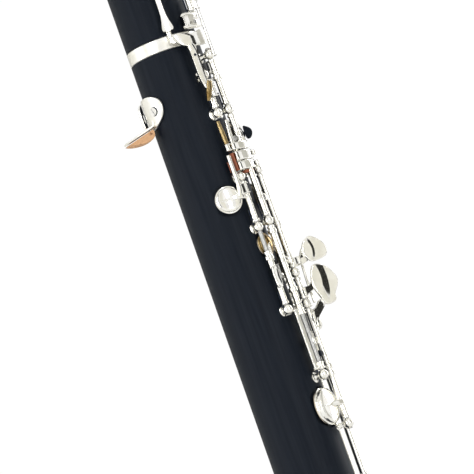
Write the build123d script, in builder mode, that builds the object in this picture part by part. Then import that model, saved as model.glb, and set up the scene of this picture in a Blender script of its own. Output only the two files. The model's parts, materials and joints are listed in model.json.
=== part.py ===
from build123d import *
import os
from collections import namedtuple
from math import asin, cos, degrees, radians, sin, sqrt

os.makedirs("parts", exist_ok=True)

# An oboe in millimetres. The bore runs along +Z from the bell's rim (z = 0) to the reed well.
# Angles are measured round the bore from the front, where the tone holes are (-Y), towards
# the player's right (-X). The thumb rest is at 180 degrees (+Y).

# Stations along the bore
BELL_TOP = 118.0
MIDDLE = 362.5
TOP = 590.0
TENON = 20.0

# Outside of the three wooden joints
BELL_RIM_R = 28.5
BELL_NECK_R = 13.4
BELL_SOCKET_R = 14.6
LOWER_BASE_R = 13.2
BARREL_R = 12.45
STRAIGHT_TOP = 388.0
NECK_Z = 560.0
NECK_R = 9.4
BULB_R = 12.6

# Bore
MOUTH_R = 18.5
MOUTH_LENGTH = 4.0
BELL_BORE_R = 8.0
TOP_BORE_R = 2.3
REED_WELL_R = 4.1
REED_WELL_DEPTH = 22.0

# Tenons, sockets and rings
SOCKET_R = 10.2
TENON_R = 9.6
CORK_R = 10.14
CORK_LENGTH = 15.0
RING_HEIGHT = 4.9
RING_WALL = 1.15
RIM_RING_HEIGHT = 5.0
BELL_RING_HEIGHT = 8.0
FIT = 0.02

# Keywork
ROD_R = 0.8
RUNNING = 0.05
TUBE_R = 1.35
POST_R = 1.15
BALL_R = 1.75
POST_DEPTH = 2.2
POST_GAP = 1.95
CUP_SKIRT = 1.7
CUP_DOME = 0.6
CUP_WALL = 0.5
PAD_SHOWS = 0.55
PAD_RECESS = 1.1
BEAD = 0.8
BEAD_WIDTH = 0.6
SEAT_MARGIN = 0.7
CLOSED = 0.03
ARM_WIDTH = 3.2
ARM_THICK = 1.2
RISER_HALF = 3.6
SPRING_R = 0.25
SPRING_LENGTH = 5.5

# Thumb rest and its two screws
THUMB_SCREW_Z = 339.6
THUMB_SCREW_ANGLES = (159.0, 201.0)
SCREW_R = 1.0
SCREW_DEPTH = 3.9
SCREW_HEAD_R = 1.4
SCREW_HEAD_HEIGHT = 0.5
SCREW_SLOT_WIDTH = 0.35
SCREW_SLOT_ANGLE = 20.0
REST_INNER = BARREL_R + 0.1
REST_THICK = 1.1
REST_ANGLES = (130, 230)
REST_FOOT = 333.6
REST_SHOULDER = 336.5
REST_WIDEST = 340.0
REST_TOP = 345.6
REST_HALF_WIDTH = 8.9
NECK_HALF = 2.6
HOOK_REACH = 24.6
HOOK_SIDE = [(REST_INNER, 334.0), (REST_INNER, 336.4), (HOOK_REACH, 332.4), (HOOK_REACH, 331.6),
             (14.2, 335.0), (13.6, 334.0)]
HOOK_CORK_SIDE = [(14.3, 334.9), (HOOK_REACH, 331.5), (20.6, 330.3), (16.0, 330.6),
                  (13.7, 332.0), (13.7, 333.9)]

# Turned outlines, as distance from the bore and height
BELL_FLARE = [(25.8, 11), (22.4, 20), (18.4, 34), (15.4, 50), (13.9, 64)]
BELL_BOWL = [(9.4, 76), (11.2, 50), (14.6, 30), (18.6, 16), (20.2, 9)]
BULB = [(NECK_R + 1.0, NECK_Z + 3), (BULB_R - 0.4, NECK_Z + 8), (BULB_R, NECK_Z + 13),
        (BULB_R - 0.5, NECK_Z + 18), (BULB_R - 2.0, NECK_Z + 23)]

# Little-finger touches: leaf-shaped plates that stand out from their tubes. The plates
# face LEAF_NORMAL and run outwards along the direction 90 degrees before it. Outlines are
# (outwards, up) from the middle of the leaf.
LEAF_NORMAL = 84.0
LEAF_THICK = 1.3
LEAF_R = 24.6
LEAF_THETA = 20.0
LOW_C_LEAF_Z = 277.0
LOW_C_LEAF = [(-5.6, 0.2), (-2.6, 4.2), (1, 6), (5.6, 2.6), (5.2, -2.0), (0, -2.6)]
LOW_C_STEM = [(-8.8, -1.4), (-4.6, -1.6), (-4.6, 1.6), (-8.8, 0.8)]
E_FLAT_LEAF_Z = 266.0
E_FLAT_LEAF = [(-4.2, 0), (-2, 6.2), (3.5, 4.6), (6.4, -1.5), (3.4, -6.8), (-1.5, -7.2)]
E_FLAT_LOW_STEM = [(-8.6, -12.4), (-1.6, -6.6), (-3.2, -4.6), (-8.6, -8.8)]
E_FLAT_HIGH_STEM = [(-8.6, -2.8), (-3.4, -1.0), (-3.6, 2.0), (-8.6, 0.4)]

Line3 = namedtuple("Line3", "theta r")
Cup = namedtuple("Cup", "theta z radius hole bead skirt")
Rod = namedtuple("Rod", "line z0 z1")
Bar = namedtuple("Bar", "r0 r1 theta0 theta1 z0 z1")
Touch = namedtuple("Touch", "near far low high r")
Block = namedtuple("Block", "low high half_angle rise")

# Hinge lines, each parallel to the bore
OUTER = Line3(30.0, 16.85)
MAIN = Line3(52.0, 16.4)
INNER = Line3(69.0, 15.0)
LITTLE = Line3(2.0, 16.7)
SHARP = Line3(-20.0, 16.8)
LEFT_B = Line3(-78.0, 16.3)
LEFT_B_FLAT = Line3(-100.0, 16.4)
UPPER_MAIN = Line3(50.0, 15.4)
UPPER_RIGHT = Line3(76.0, 14.9)
UPPER_LEFT = Line3(-62.0, 15.0)
SIDE_BACK = Line3(120.0, 14.2)
THUMB = Line3(160.0, 14.3)

# Posts sit at both ends of each rod
RODS = {
    "main_crown": Rod(MAIN, 332.0, 352.0),
    "main_top": Rod(MAIN, 291.5, 332.0),
    "main_low": Rod(MAIN, 236.0, 291.5),
    "outer_top": Rod(OUTER, 272.3, 310.0),
    "outer_mid": Rod(OUTER, 261.0, 272.3),
    "outer_low": Rod(OUTER, 218.0, 261.0),
    "inner_top": Rod(INNER, 331.6, 345.5),
    "inner_mid": Rod(INNER, 290.3, 308.5),
    "inner_low": Rod(INNER, 260.5, 290.3),
    "little": Rod(LITTLE, 170.0, 266.3),
    "sharp": Rod(SHARP, 195.0, 264.0),
    "left_b": Rod(LEFT_B, 134.0, 352.0),
    "left_b_flat": Rod(LEFT_B_FLAT, 123.5, 350.0),
    "bell": Rod(LEFT_B_FLAT, 72.0, 104.5),
    "upper_low": Rod(UPPER_MAIN, 366.5, 397.0),
    "upper_mid": Rod(UPPER_MAIN, 397.0, 423.0),
    "upper_top": Rod(UPPER_MAIN, 423.0, 449.0),
    "upper_right": Rod(UPPER_RIGHT, 380.0, 452.0),
    "upper_left": Rod(UPPER_LEFT, 370.0, 400.0),
    "side_back": Rod(SIDE_BACK, 452.0, 490.0),
    "thumb": Rod(THUMB, 428.0, 506.0),
}
SPRING_AT_TOP = ["outer_low", "outer_top", "sharp", "left_b"]
UPPER_RODS = ["upper_low", "upper_mid", "upper_top", "upper_right", "upper_left", "side_back", "thumb"]
BELL_RODS = ["bell"]
LOWER_RODS = [name for name in RODS if name not in UPPER_RODS + BELL_RODS]

# Padded cups, all drawn with the pad shut on its seat
CUPS = {
    "half_hole_plate": Cup(-4, 436, 6.2, 2.2, BEAD, CUP_SKIRT),
    "a_key": Cup(-4, 410, 6.2, 2.6, BEAD, CUP_SKIRT),
    "a_vent": Cup(-4, 423, 3.6, 1.6, BEAD, CUP_SKIRT),
    "g_key": Cup(-4, 383, 6.2, 3.0, BEAD, CUP_SKIRT),
    "g_vent": Cup(-4, 396.5, 3.6, 1.6, BEAD, CUP_SKIRT),
    "g_sharp_key": Cup(-90, 393, 4.6, 2.4, BEAD, CUP_SKIRT),
    "trill_lever": Cup(106, 443, 3.9, 1.8, BEAD, CUP_SKIRT),
    "second_octave_key": Cup(136, 483, 3.2, 0.6, BEAD, CUP_SKIRT),
    "first_octave_key": Cup(134, 500, 3.2, 0.6, BEAD, CUP_SKIRT),
    "f_sharp_plate": Cup(-4, 323, 7.2, 3.2, BEAD, CUP_SKIRT),
    "e_plate": Cup(-4, 300, 7.2, 3.4, BEAD, CUP_SKIRT),
    "d_plate": Cup(-4, 277, 7.2, 3.6, BEAD, CUP_SKIRT),
    "side_vent_key": Cup(96, 302, 4.8, 2.4, BEAD, CUP_SKIRT),
    "f_key": Cup(57, 284.2, 4.1, 2.2, 0.0, 1.1),
    "resonance_key": Cup(12, 248, 4.8, 2.4, 0.0, 1.0),
    "e_flat_key": Cup(50, 225.6, 6.65, 3.6, BEAD, 2.0),
    "low_c_key": Cup(32, 180, 7.2, 4.0, BEAD, CUP_SKIRT),
    "c_sharp_key": Cup(-48, 205, 5.8, 3.2, BEAD, CUP_SKIRT),
    "low_b_key": Cup(-48, 144, 7.6, 4.4, BEAD, CUP_SKIRT),
    "low_b_flat_key": Cup(-128, 88, 7.6, 4.6, BEAD, CUP_SKIRT),
}

# Keys that rest open, and how far (degrees about +Z) each stands from shut
PLATE_OPEN = -4.0
OPENED = {
    "half_hole_plate": (UPPER_MAIN, PLATE_OPEN),
    "a_key": (UPPER_MAIN, PLATE_OPEN),
    "g_key": (UPPER_MAIN, PLATE_OPEN),
    "bridge_lever": (MAIN, PLATE_OPEN),
    "f_sharp_plate": (MAIN, PLATE_OPEN),
    "e_plate": (MAIN, PLATE_OPEN),
    "d_plate": (MAIN, PLATE_OPEN),
    "resonance_key": (MAIN, PLATE_OPEN),
    "low_c_key": (LITTLE, 7.0),
    "low_b_key": (LEFT_B, 6.5),
    "low_b_flat_lever": (LEFT_B_FLAT, -7.0),
    "low_b_flat_key": (LEFT_B_FLAT, -7.0),
}

# Bars that follow the body round, by the key they belong to
G_BRIDGE_SHANK = Bar(15.6, 16.9, 32.5, 42, 351.5, 372)
G_BRIDGE_ROOT = Bar(15.6, 16.9, 32.5, 50, 368.8, 372)
BRIDGE_FOOT_ROOT = Bar(14.0, 15.25, 34, 50, 345.5, 350.0)
BRIDGE_FOOT = Bar(14.0, 15.25, 34, 40.5, 345.5, 355.0)
TRILL_PLATE = Bar(16.95, 18.1, 69.5, 80.5, 338.55, 357.5)
TRILL_PLATE_ROOT = Bar(16.95, 18.1, 69.5, 74, 336.55, 339.55)
TRILL_CRESCENT = Bar(16.1, 17.4, 48, 98, 355.6, 361.4)
TRILL_STEP = Bar(13.15, 17.4, 94, 98.5, 357.2, 361.4)
TRILL_TONGUE = Bar(13.15, 13.9, 93, 99, 359.4, 367.5)
LEVER_SHANK = Bar(14.3, 15.6, 93.5, 100, 366.5, 386)
LEVER_FOOT = Bar(14.3, 15.6, 91, 102.5, 364.3, 368.2)
LEVER_ROOT = Bar(14.3, 15.6, 76, 99, 382.4, 386)
SIDE_VENT_TAIL = Bar(15.3, 16.6, 76.5, 82, 304, 316.5)
B_FLAT_TOUCH = Bar(17.3, 18.6, -124, -98, 336, 347)
B_FLAT_FOOT_ROOT = Bar(18.7, 19.9, -114, -98, 125.45, 129.45)
B_FLAT_FOOT = Bar(18.7, 19.9, -114, -108, 113, 129.45)
BELL_TAIL_ROOT = Bar(16.9, 18.2, -114, -98, 98.55, 102.55)
BELL_TAIL = Bar(16.9, 18.2, -114, -108, 98.55, 118)
LOW_C_FOOT_ROOT = Bar(19.3, 20.5, 13, 33, 274.45, 277.25)
LOW_C_FOOT = Bar(19.3, 20.5, 13, 17, 260.5, 277.25)
LOW_C_TAB = Bar(17.3, 18.5, 2, 17, 260, 264.35)

SIDE_VENT_TOUCH = Touch(69, 82, 302, 306, 15.3)
F_TOUCH = Touch(69, 75, 268, 276, 15.2)
G_SHARP_TOUCH = Touch(-62, -34, 372.5, 380, 15.8)
SECOND_OCTAVE_TOUCH = Touch(120, 92, 456, 464, 14.9)
FIRST_OCTAVE_TOUCH = Touch(160, 198, 431, 444, 15.0)
C_SHARP_TOUCH = Touch(-20, 11, 252, 259.5, 19.2)
LOW_B_TOUCH = Touch(-78, -56, 340, 349, 17.2)

# Blocks that stand on the plates' tubes
F_SHARP_BLOCK = Block(317.4, 320.2, 8, 1.5)
E_HIGH_BLOCK = Block(313.7, 317.1, 9, 1.6)
E_LOW_BLOCK = Block(310.0, 313.4, 9, 1.4)
BLOCK_DEPTH = 2.6
D_TUBE_BASE = 261.2
RESONANCE_TUBE_TOP = 261.0
RESONANCE_LEVER_TOP = 259.5
CROWN_Z = (342.5, 344.5)


def direction(theta):
    return Vector(-sin(radians(theta)), -cos(radians(theta)), 0)


def point(theta, r, z):
    return direction(theta) * r + Vector(0, 0, z)


def outward(theta, r, z):
    """Plane at this point whose normal leaves the bore and whose Y is up."""
    return Plane(point(theta, r, z), x_dir=direction(theta - 90), z_dir=direction(theta))


def outer_radius(z):
    """Outside radius of the wood at this height, for seats and posts."""
    if z < BELL_TOP:
        return BELL_NECK_R
    if z < MIDDLE:
        share = (z - BELL_TOP) / (MIDDLE - BELL_TOP)
        return LOWER_BASE_R + share * (BARREL_R - LOWER_BASE_R)
    if z < STRAIGHT_TOP:
        return BARREL_R
    share = (z - STRAIGHT_TOP) / (NECK_Z - STRAIGHT_TOP)
    return BARREL_R + share * (NECK_R - BARREL_R)


def bore_radius(z):
    share = (z - BELL_TOP) / (TOP - REED_WELL_DEPTH - BELL_TOP)
    return BELL_BORE_R + share * (TOP_BORE_R - BELL_BORE_R)


def face_radius(cup):
    return sqrt(outer_radius(cup.z) ** 2 - (cup.radius - 0.4) ** 2)


def seat_radius(cup):
    return face_radius(cup) + cup.bead


def pad_radius(cup):
    return cup.radius - CUP_WALL - RUNNING


def cup_base(cup):
    """Distance from the bore's axis to the lower edge of the cup's skirt."""
    return seat_radius(cup) + CLOSED + PAD_SHOWS


def profile(points):
    """A closed outline in the XZ plane, spun round the bore."""
    with BuildSketch(Plane.XZ) as face:
        with BuildLine():
            Polyline(*points, close=True)
        make_face()
    revolve(face.sketch, axis=Axis.Z)


def drill(theta, r0, r1, z, radius, mode=Mode.SUBTRACT):
    with BuildSketch(outward(theta, r0, z)) as face:
        Circle(radius)
    extrude(face.sketch, amount=r1 - r0, mode=mode)


def tone_holes(cups):
    """Spot faces, raised seats and tone holes in the part being built."""
    for cup in cups:
        drill(cup.theta, face_radius(cup), outer_radius(cup.z) + 6, cup.z, cup.radius + SEAT_MARGIN)
        if cup.bead:
            drill(cup.theta, bore_radius(cup.z) + 1, seat_radius(cup), cup.z,
                  cup.hole + BEAD_WIDTH, Mode.ADD)
        drill(cup.theta, 0, seat_radius(cup) + 1, cup.z, cup.hole)


def post_holes(names):
    for name in names:
        rod = RODS[name]
        for z in (rod.z0, rod.z1):
            drill(rod.line.theta, outer_radius(z) - POST_DEPTH, outer_radius(z) + 4, z, POST_R + FIT)


def between(rod_name):
    """The line of a rod and both ends of a tube that fills the room between its posts."""
    rod = RODS[rod_name]
    return rod.line, rod.z0 + POST_GAP, rod.z1 - POST_GAP


def cups_between(z0, z1):
    return [cup for cup in CUPS.values() if z0 < cup.z < z1]


def sector(r0, r1, theta0, theta1, z0, z1, mode=Mode.ADD):
    """A bar that follows the body round from theta0 to theta1."""
    start = -90 - theta1
    size = theta1 - theta0
    with BuildSketch(Plane.XY.offset(z0)) as face:
        with BuildLine():
            outer = CenterArc((0, 0), r1, start, size)
            inner = CenterArc((0, 0), r0, start, size)
            Line(outer @ 0, inner @ 0)
            Line(outer @ 1, inner @ 1)
        make_face()
    extrude(face.sketch, amount=z1 - z0, mode=mode)


def tube(line, z0, z1, radius=TUBE_R, mode=Mode.ADD):
    centre = point(line.theta, line.r, 0)
    with BuildSketch(Plane.XY.offset(z0)) as face:
        with Locations((centre.X, centre.Y)):
            Circle(radius)
    extrude(face.sketch, amount=z1 - z0, mode=mode)


def hinge_bore(line, z0, z1):
    tube(line, z0 - 1, z1 + 1, ROD_R + RUNNING, Mode.SUBTRACT)


def cup_section(cup, points):
    """Spins points (distance from the cup's axis, height above its lower edge)."""
    base = point(cup.theta, cup_base(cup), cup.z)
    side = Plane(base, x_dir=(0, 0, 1), z_dir=Vector(0, 0, 1).cross(direction(cup.theta)))
    with BuildSketch(side) as face:
        with BuildLine():
            Polyline(*points, close=True)
        make_face()
    revolve(face.sketch, axis=Axis(base, direction(cup.theta)))


def domed_cup(cup):
    top = cup.skirt + CUP_DOME
    inner = cup.radius - CUP_WALL
    cup_section(cup, [(0, PAD_RECESS), (inner, PAD_RECESS), (inner, 0), (cup.radius, 0),
                      (cup.radius, cup.skirt - 0.2), (cup.radius - 0.5, cup.skirt + 0.15),
                      (cup.radius * 0.55, top - 0.1), (0, top)])


def low_cup(cup):
    inner = cup.radius - CUP_WALL
    recess = cup.skirt - 0.5
    cup_section(cup, [(0, recess), (inner, recess), (inner, 0), (cup.radius, 0),
                      (cup.radius, cup.skirt - 0.2), (cup.radius - 0.4, cup.skirt),
                      (0, cup.skirt + 0.2)])


def finger_plate(cup):
    top = cup.skirt + CUP_DOME
    inner = cup.radius - CUP_WALL
    cup_section(cup, [(0, PAD_RECESS), (inner, PAD_RECESS), (inner, 0), (cup.radius, 0),
                      (cup.radius, top - 0.5), (cup.radius - 0.4, top), (cup.radius - 1.1, top),
                      (cup.radius * 0.5, top - 0.4), (0, top - 0.5)])


def cup_arm(cup, line, low=None, short=False):
    """The bar from the hinge tube to the middle of the cup's top, or only to its edge."""
    z0 = cup.z - ARM_WIDTH / 2 if low is None else low
    r0 = cup_base(cup) + cup.skirt - 0.5
    side = 1 if line.theta > cup.theta else -1
    end = cup.theta + side * degrees(asin((cup.radius - 1.2) / r0)) if short else cup.theta
    sector(r0, r0 + ARM_THICK, min(end, line.theta), max(end, line.theta), z0, z0 + ARM_WIDTH)
    if r0 + ARM_THICK < line.r:
        web(line, r0, line.r, RISER_HALF, z0, z0 + ARM_WIDTH)


def clear_recess(cup):
    """Takes the arm out of the room that the pad needs."""
    recess = PAD_RECESS if cup.skirt > PAD_RECESS + 0.2 else cup.skirt - 0.5
    base = cup_base(cup)
    drill(cup.theta, base - 4, base + recess, cup.z, cup.radius - CUP_WALL)


def web(line, r0, r1, half_angle, z0, z1):
    """A block across the hinge tube that carries an arm or a touch."""
    sector(r0, r1, line.theta - half_angle, line.theta + half_angle, z0, z1)


def save(builder, name):
    """Writes the node; a key that rests open, and its pad, are turned about its rod first."""
    part = builder.part
    key = name.removesuffix("_pad")
    if key in OPENED:
        line, angle = OPENED[key]
        part = part.rotate(Axis(point(line.theta, line.r, 0), (0, 0, 1)), angle)
    part.label = name
    export_step(part, "parts/" + name + ".step")


def build_pad(name, cups):
    with BuildPart() as pad:
        for cup in cups:
            recess = PAD_RECESS if cup.skirt > PAD_RECESS + 0.2 else cup.skirt - 0.5
            start = cup_base(cup) - PAD_SHOWS
            drill(cup.theta, start, cup_base(cup) + recess, cup.z, pad_radius(cup), Mode.ADD)
    save(pad, name + "_pad")


# --- wooden joints -------------------------------------------------------------------------

def build_bell():
    floor = BELL_TOP - TENON
    ring = BELL_TOP - BELL_RING_HEIGHT
    with BuildPart() as bell:
        profile([(MOUTH_R, 0), (BELL_RIM_R - RING_WALL, 0), (BELL_RIM_R - RING_WALL, RIM_RING_HEIGHT),
                 (BELL_RIM_R - 0.6, RIM_RING_HEIGHT), *BELL_FLARE,
                 (BELL_NECK_R, 76), (BELL_NECK_R, 97),
                 (BELL_SOCKET_R, 101), (BELL_SOCKET_R, ring), (BELL_SOCKET_R - RING_WALL, ring),
                 (BELL_SOCKET_R - RING_WALL, BELL_TOP),
                 (SOCKET_R, BELL_TOP), (SOCKET_R, floor), (BELL_BORE_R + 0.3, floor),
                 *BELL_BOWL, (MOUTH_R, MOUTH_LENGTH)])
        tone_holes([CUPS["low_b_flat_key"]])
        post_holes(BELL_RODS)
    save(bell, "bell")


def build_lower_joint():
    base = BELL_TOP - TENON + FIT
    floor = MIDDLE - TENON
    ring = MIDDLE - RING_HEIGHT
    with BuildPart() as joint:
        profile([(bore_radius(BELL_TOP), base), (TENON_R, base), (TENON_R, BELL_TOP + FIT),
                 (LOWER_BASE_R, BELL_TOP + FIT), (BARREL_R, ring),
                 (BARREL_R - RING_WALL, ring), (BARREL_R - RING_WALL, MIDDLE), (SOCKET_R, MIDDLE),
                 (SOCKET_R, floor), (bore_radius(floor), floor)])
        tone_holes(cups_between(BELL_TOP, MIDDLE))
        post_holes(LOWER_RODS)
        for theta in THUMB_SCREW_ANGLES:
            drill(theta, BARREL_R - 4, BARREL_R + 4, THUMB_SCREW_Z, SCREW_R + FIT)
    save(joint, "lower_joint")


def build_upper_joint():
    base = MIDDLE - TENON + FIT
    well = TOP - REED_WELL_DEPTH
    with BuildPart() as joint:
        profile([(bore_radius(base), base), (TENON_R, base), (TENON_R, MIDDLE + FIT),
                 (BARREL_R, MIDDLE + FIT), (BARREL_R, STRAIGHT_TOP), (NECK_R, NECK_Z), *BULB,
                 (BULB_R - 2.6, TOP - RING_HEIGHT), (BULB_R - 3.6, TOP - RING_HEIGHT),
                 (BULB_R - 3.6, TOP), (REED_WELL_R, TOP), (REED_WELL_R, well), (TOP_BORE_R, well)])
        tone_holes(cups_between(MIDDLE, TOP))
        post_holes(UPPER_RODS)
    save(joint, "upper_joint")


def ring_of(name, r0, r1, z0, z1, round_edge=0.4):
    with BuildPart() as ring:
        profile([(r0, z0), (r1 - round_edge, z0), (r1, z0 + round_edge), (r1, z1 - round_edge),
                 (r1 - round_edge, z1), (r0, z1)])
    save(ring, name)


def build_rings():
    ring_of("middle_socket_ring", BARREL_R - RING_WALL + FIT, BARREL_R + 0.1,
            MIDDLE - RING_HEIGHT + FIT, MIDDLE)
    ring_of("bell_socket_ring", BELL_SOCKET_R - RING_WALL + FIT, BELL_SOCKET_R,
            BELL_TOP - BELL_RING_HEIGHT + FIT, BELL_TOP)
    ring_of("bell_rim_ring", BELL_RIM_R - RING_WALL + FIT, BELL_RIM_R, 0, RIM_RING_HEIGHT - FIT, 0.5)
    ring_of("reed_well_ring", BULB_R - 3.6 + FIT, BULB_R - 2.3, TOP - RING_HEIGHT + FIT, TOP)


def build_tenon_corks():
    for name, shoulder in (("middle_tenon_cork", MIDDLE), ("bell_tenon_cork", BELL_TOP)):
        z0 = shoulder - TENON + 2.5
        ring_of(name, TENON_R + FIT, CORK_R, z0, z0 + CORK_LENGTH, 0.2)


# --- rods, posts and springs ---------------------------------------------------------------

def build_posts(name, rod_names):
    done = []
    with BuildPart() as posts:
        for rod_name in rod_names:
            rod = RODS[rod_name]
            for z in (rod.z0, rod.z1):
                if (rod.line, z) in done:
                    continue
                done.append((rod.line, z))
                foot = outer_radius(z) - POST_DEPTH + FIT
                drill(rod.line.theta, foot, rod.line.r, z, POST_R, Mode.ADD)
                with Locations(point(rod.line.theta, rod.line.r, z)):
                    Sphere(BALL_R)
                tube(rod.line, z - BALL_R - 1, z + BALL_R + 1, ROD_R + FIT, Mode.SUBTRACT)
    save(posts, name)


def build_rods(name, rod_names):
    """Plain rods; one that meets another in a shared post stops inside it."""
    with BuildPart() as rods:
        for rod_name in rod_names:
            rod = RODS[rod_name]
            low_end = rod.z0 - 1.2 if rod.z0 not in [RODS[n].z1 for n in rod_names] else rod.z0 + 0.1
            high_end = rod.z1 + 1.2 if rod.z1 not in [RODS[n].z0 for n in rod_names] else rod.z1 - 0.1
            tube(rod.line, low_end, high_end, ROD_R)
    save(rods, name)


def build_needle_springs():
    """Blued steel needles set in the posts, lying beside the tubes they push."""
    with BuildPart() as springs:
        for name, rod in RODS.items():
            below = Line3(rod.line.theta, rod.line.r - TUBE_R - SPRING_R - 0.15)
            reach = min(SPRING_LENGTH, (rod.z1 - rod.z0) / 2)
            z0 = rod.z1 - POST_R - reach if name in SPRING_AT_TOP else rod.z0 + POST_R + FIT
            tube(below, z0, z0 + reach - FIT, SPRING_R)
    save(springs, "needle_springs")


# --- thumb rest ----------------------------------------------------------------------------

def build_thumb_rest():
    with BuildPart() as rest:
        sector(REST_INNER, REST_INNER + REST_THICK, *REST_ANGLES, REST_FOOT, REST_TOP)
        with BuildSketch(Plane.XZ) as face:
            left = (-REST_HALF_WIDTH, REST_WIDEST)
            right = (REST_HALF_WIDTH, REST_WIDEST)
            with BuildLine():
                Polyline((-NECK_HALF, REST_FOOT), (-REST_HALF_WIDTH + 2, REST_SHOULDER), left)
                ThreePointArc(left, (0, REST_TOP), right)
                Polyline(right, (REST_HALF_WIDTH - 2, REST_SHOULDER),
                         (NECK_HALF, REST_FOOT), (-NECK_HALF, REST_FOOT))
            make_face()
        extrude(face.sketch, amount=-30, mode=Mode.INTERSECT)
        with BuildSketch(Plane.YZ) as face:
            with BuildLine():
                Polyline(*HOOK_SIDE, close=True)
            make_face()
        extrude(face.sketch, amount=NECK_HALF, both=True)
        for theta in THUMB_SCREW_ANGLES:
            drill(theta, BARREL_R - 1, BARREL_R + 6, THUMB_SCREW_Z, SCREW_R + FIT)
    save(rest, "thumb_rest")


def build_thumb_rest_cork():
    with BuildPart() as cork:
        with BuildSketch(Plane.YZ) as face:
            with BuildLine():
                Polyline(*HOOK_CORK_SIDE, close=True)
            make_face()
        extrude(face.sketch, amount=NECK_HALF, both=True)
    save(cork, "thumb_rest_cork")


def build_thumb_rest_screws():
    head = REST_INNER + REST_THICK
    with BuildPart() as screws:
        for theta in THUMB_SCREW_ANGLES:
            drill(theta, BARREL_R - SCREW_DEPTH, head + 0.05, THUMB_SCREW_Z, SCREW_R, Mode.ADD)
            drill(theta, head + 0.03, head + SCREW_HEAD_HEIGHT, THUMB_SCREW_Z, SCREW_HEAD_R, Mode.ADD)
            with BuildSketch(outward(theta, head + SCREW_HEAD_HEIGHT / 2, THUMB_SCREW_Z)) as face:
                Rectangle(SCREW_SLOT_WIDTH, 2 * SCREW_HEAD_R + 1, rotation=SCREW_SLOT_ANGLE)
            extrude(face.sketch, amount=1, mode=Mode.SUBTRACT)
    save(screws, "thumb_rest_screws")


# --- keys ----------------------------------------------------------------------------------

def plate_key(name, line, z0, z1, blocks=(), vents=(), bars=()):
    """A finger plate on its tube; blocks are bridges that other keys bear on."""
    cup = CUPS[name]
    with BuildPart() as key:
        tube(line, z0, z1)
        cup_arm(cup, line, max(z0, cup.z - ARM_WIDTH / 2), short=True)
        finger_plate(cup)
        clear_recess(cup)
        for vent in vents:
            domed_cup(CUPS[vent])
            reach = min(CUPS[vent].z, z1 - ARM_WIDTH / 2)
            cup_arm(CUPS[vent], line, reach - ARM_WIDTH / 2)
            clear_recess(CUPS[vent])
        for block in blocks:
            web(line, line.r - BLOCK_DEPTH, line.r + block.rise, block.half_angle, block.low, block.high)
        for bar in bars:
            sector(*bar)
        hinge_bore(line, z0, z1)
    save(key, name)
    build_pad(name, [cup] + [CUPS[vent] for vent in vents])


def build_half_hole_plate():
    plate_key("half_hole_plate", *between("upper_top"))


def build_a_key():
    plate_key("a_key", *between("upper_mid"), vents=["a_vent"])


def build_g_key():
    """Its bridge reaches down past the middle ring to the lower joint's keys."""
    plate_key("g_key", *between("upper_low"), vents=["g_vent"], bars=[G_BRIDGE_SHANK, G_BRIDGE_ROOT])


def build_bridge_lever():
    """A short tube whose foot lies under the bridge from the upper joint."""
    with BuildPart() as key:
        tube(*between("main_crown"))
        tube(MAIN, *CROWN_Z, TUBE_R + 0.35)
        sector(*BRIDGE_FOOT_ROOT)
        sector(*BRIDGE_FOOT)
        web(MAIN, BRIDGE_FOOT.r0, MAIN.r, 4, BRIDGE_FOOT_ROOT.z0, BRIDGE_FOOT_ROOT.z1)
        hinge_bore(*between("main_crown"))
    save(key, "bridge_lever")


def build_f_sharp_plate():
    top = RODS["main_top"].z1 - POST_GAP
    plate_key("f_sharp_plate", MAIN, F_SHARP_BLOCK.low, top, blocks=[F_SHARP_BLOCK])


def build_e_plate():
    base = RODS["main_top"].z0 + POST_GAP
    plate_key("e_plate", MAIN, base, E_HIGH_BLOCK.high, blocks=[E_HIGH_BLOCK, E_LOW_BLOCK])


def build_d_plate():
    plate_key("d_plate", MAIN, D_TUBE_BASE, RODS["main_low"].z1 - POST_GAP)


def build_resonance_key():
    """A wide flat-topped lever whose small vent closes with the D plate."""
    cup = CUPS["resonance_key"]
    z0 = RODS["main_low"].z0 + POST_GAP
    with BuildPart() as key:
        tube(MAIN, z0, RESONANCE_TUBE_TOP)
        web(MAIN, MAIN.r - 1.2, MAIN.r + 1.2, 6.3, z0, RESONANCE_LEVER_TOP)
        cup_arm(cup, MAIN)
        low_cup(cup)
        clear_recess(cup)
        hinge_bore(MAIN, z0, RESONANCE_TUBE_TOP)
    save(key, "resonance_key")
    build_pad("resonance_key", [cup])


def build_trill_touch():
    """A curved touch beside the middle ring; its tongue lies under the trill lever's foot."""
    line, z0, z1 = between("inner_top")
    with BuildPart() as key:
        tube(line, z0, z1)
        web(line, 14.5, TRILL_PLATE.r1, 4.0, TRILL_PLATE_ROOT.z0, z1)
        for bar in (TRILL_PLATE, TRILL_PLATE_ROOT, TRILL_CRESCENT, TRILL_STEP, TRILL_TONGUE):
            sector(*bar)
        hinge_bore(line, z0, z1)
    save(key, "trill_touch")


def build_trill_lever():
    """A long flat lever on the upper joint, with a flared foot over the tongue."""
    cup = CUPS["trill_lever"]
    line, z0, z1 = between("upper_right")
    with BuildPart() as key:
        tube(line, z0, z1)
        for bar in (LEVER_SHANK, LEVER_FOOT, LEVER_ROOT):
            sector(*bar)
        cup_arm(cup, line)
        domed_cup(cup)
        clear_recess(cup)
        hinge_bore(line, z0, z1)
    save(key, "trill_lever")
    build_pad("trill_lever", [cup])


def side_key(name, rod_name, touch, pad_shape=domed_cup, bars=()):
    """A cup on one side of the tube and a touch on the other."""
    cup = CUPS[name]
    line, z0, z1 = between(rod_name)
    top = touch.r + ARM_THICK
    with BuildPart() as key:
        tube(line, z0, z1)
        cup_arm(cup, line)
        pad_shape(cup)
        clear_recess(cup)
        sector(touch.r, top, min(touch.near, touch.far), max(touch.near, touch.far), touch.low, touch.high)
        if abs(touch.r - line.r) > TUBE_R - ARM_THICK:
            web(line, min(touch.r, line.r), max(top, line.r), 4.5, touch.low, touch.high)
        for bar in bars:
            sector(*bar)
        hinge_bore(line, z0, z1)
    save(key, name)
    build_pad(name, [cup])


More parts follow.
